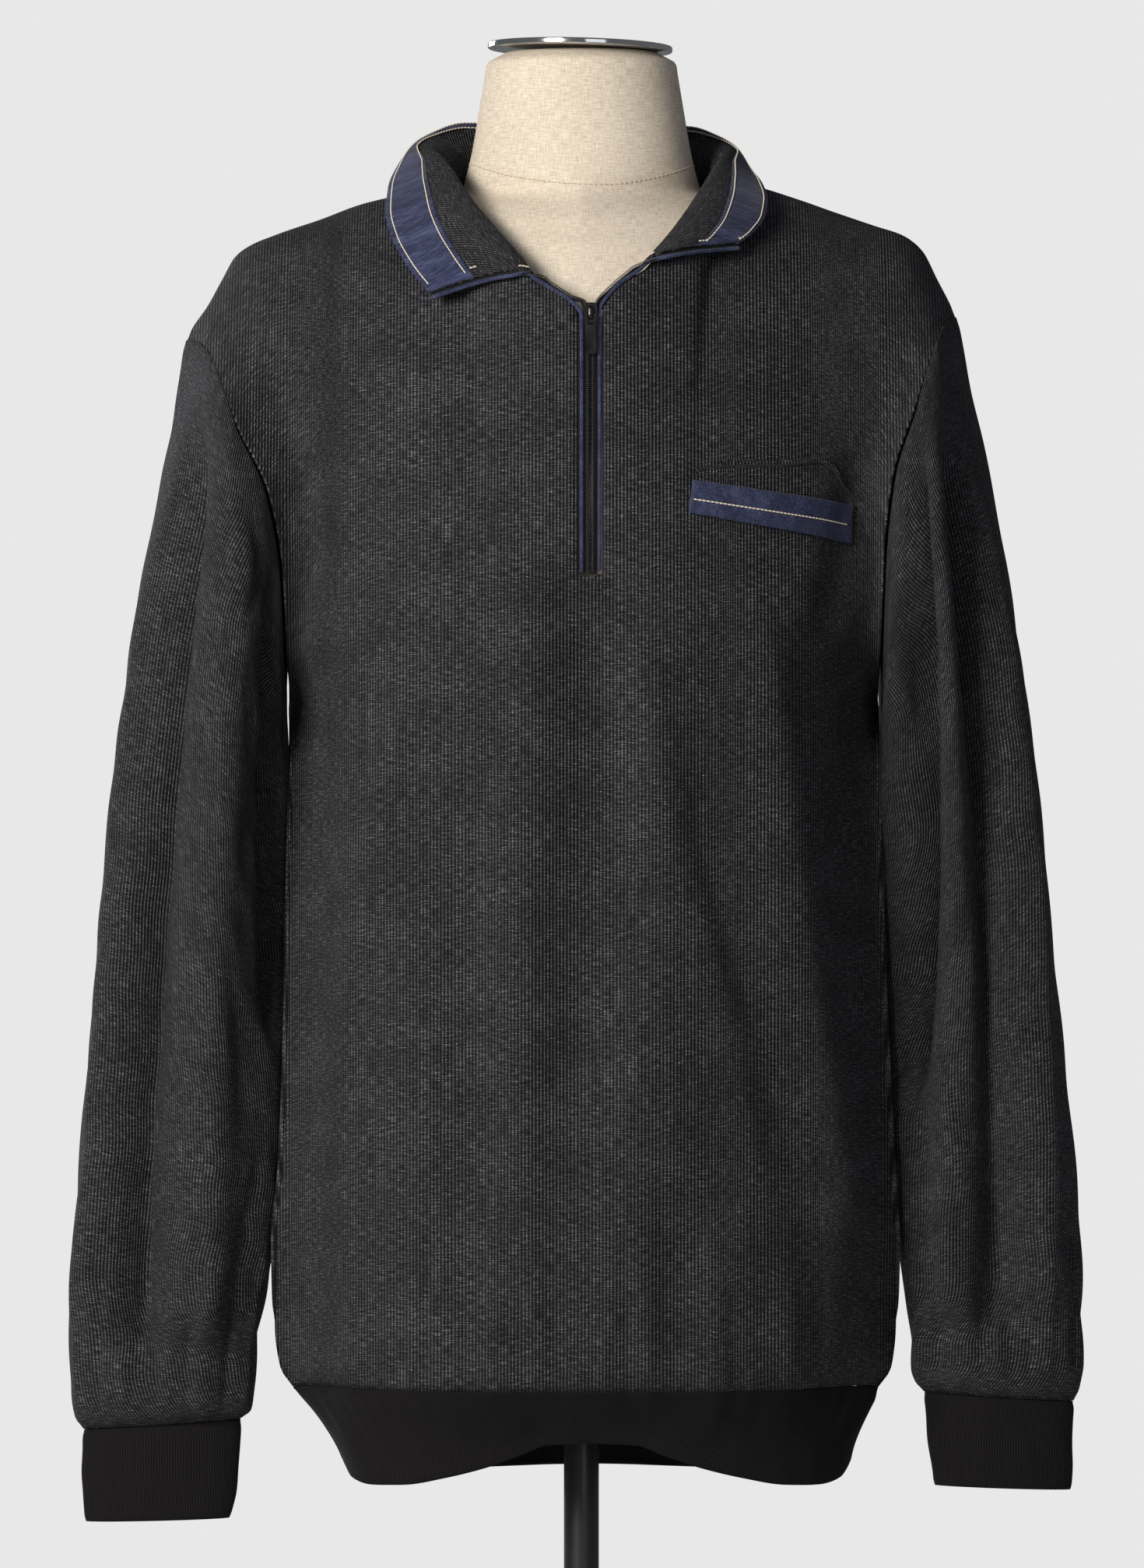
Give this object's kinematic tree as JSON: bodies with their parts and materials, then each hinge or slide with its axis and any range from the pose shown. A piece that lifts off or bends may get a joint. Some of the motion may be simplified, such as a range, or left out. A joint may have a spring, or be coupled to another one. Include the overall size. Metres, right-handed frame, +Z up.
{
  "type": "sweatshirt on a dress form",
  "caption": "Half-zip knitted sweatshirt, collar worn open, with ribbed hem and cuffs and a chest pocket, on a limbless linen dress form with a cap, pole and round base.",
  "frame": {"origin": "middle of the underside of the stand's base", "axes": "+Z up along the pole, -Y out of the sweatshirt's front, +X towards the wearer's left"},
  "size_m": [0.5738, 0.33, 1.3664],
  "materials": {
    "knit": "charcoal melange fine rib knit, matt and slightly hairy",
    "rib": "black fine rib band, matt",
    "twill": "navy woven twill, matt, with cream topstitching",
    "chain": "black nylon coil zip",
    "gunmetal": "dark gunmetal plating, satin",
    "linen": "natural linen stretched over a hard form",
    "chrome": "polished chrome disc",
    "black_paint": "dark satin paint on steel"
  },
  "bodies": {
    "dressed_form": {"front": "knit", "back": "knit", "sleeve_right": "knit", "sleeve_left": "knit", "cuff_right": "rib", "cuff_left": "rib", "hem_band": "rib", "collar": "knit", "collar_tape": "twill", "piping_right": "twill", "piping_left": "twill", "zip_chain_right": "chain", "zip_chain_left": "chain", "zip_slider": "gunmetal", "pocket_welt": "twill", "form_torso": "linen", "form_cap": "chrome", "stand_pole": "black_paint", "stand_base": "black_paint"},
    "pull_tab": {"zip_pull": "gunmetal"}
  },
  "joints": [
    {"name": "pull_hinge", "type": "hinge", "parent": "dressed_form", "child": "pull_tab", "pos_m": [0.005, -0.12353, 1.206], "axis": [-1, 0, 0], "range_deg": [0, 165]}
  ]
}
